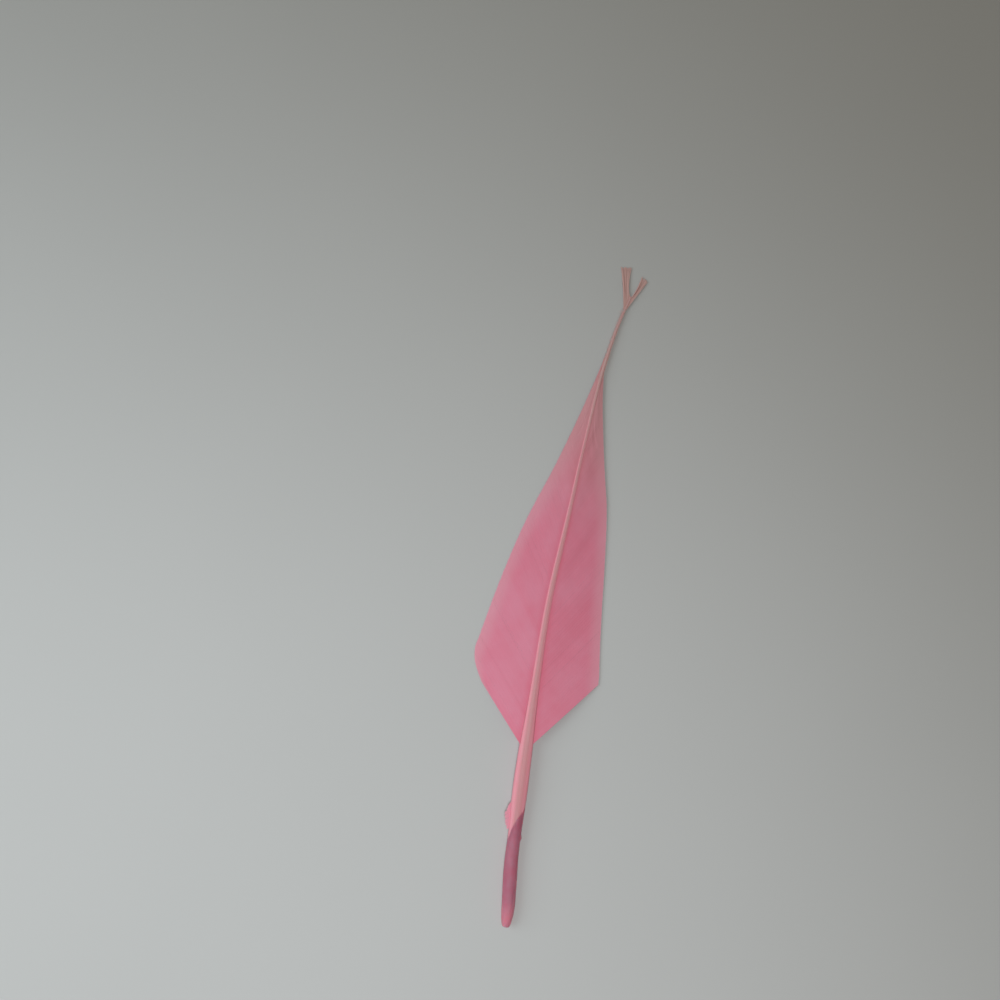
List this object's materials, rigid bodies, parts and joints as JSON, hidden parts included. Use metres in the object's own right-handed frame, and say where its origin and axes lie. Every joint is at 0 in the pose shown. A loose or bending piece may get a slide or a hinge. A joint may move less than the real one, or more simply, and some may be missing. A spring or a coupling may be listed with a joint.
{
  "type": "goose quill feather",
  "caption": "Dyed goose wing quill lying flat, its two vanes trimmed to a long point, with a stripped shaft and a small tuft left at the tip.",
  "frame": {"origin": "middle of the feather's box in plan, at the height of the surface it lies on", "axes": "+Y runs from the end of the quill to the tip, +X to the narrow vane's side, +Z out of the back of the feather, which faces up"},
  "size_m": [0.0386, 0.2014, 0.0047],
  "materials": {
    "shaft_horn": "satin",
    "vane_barbs": "satin",
    "tuft_barbs": "matte"
  },
  "bodies": {
    "root": {"shaft": "shaft_horn", "vane_left": "vane_barbs", "vane_right": "vane_barbs", "vane_remnant": "vane_barbs", "tip_tuft_left": "tuft_barbs", "tip_tuft_right": "tuft_barbs"}
  },
  "joints": []
}
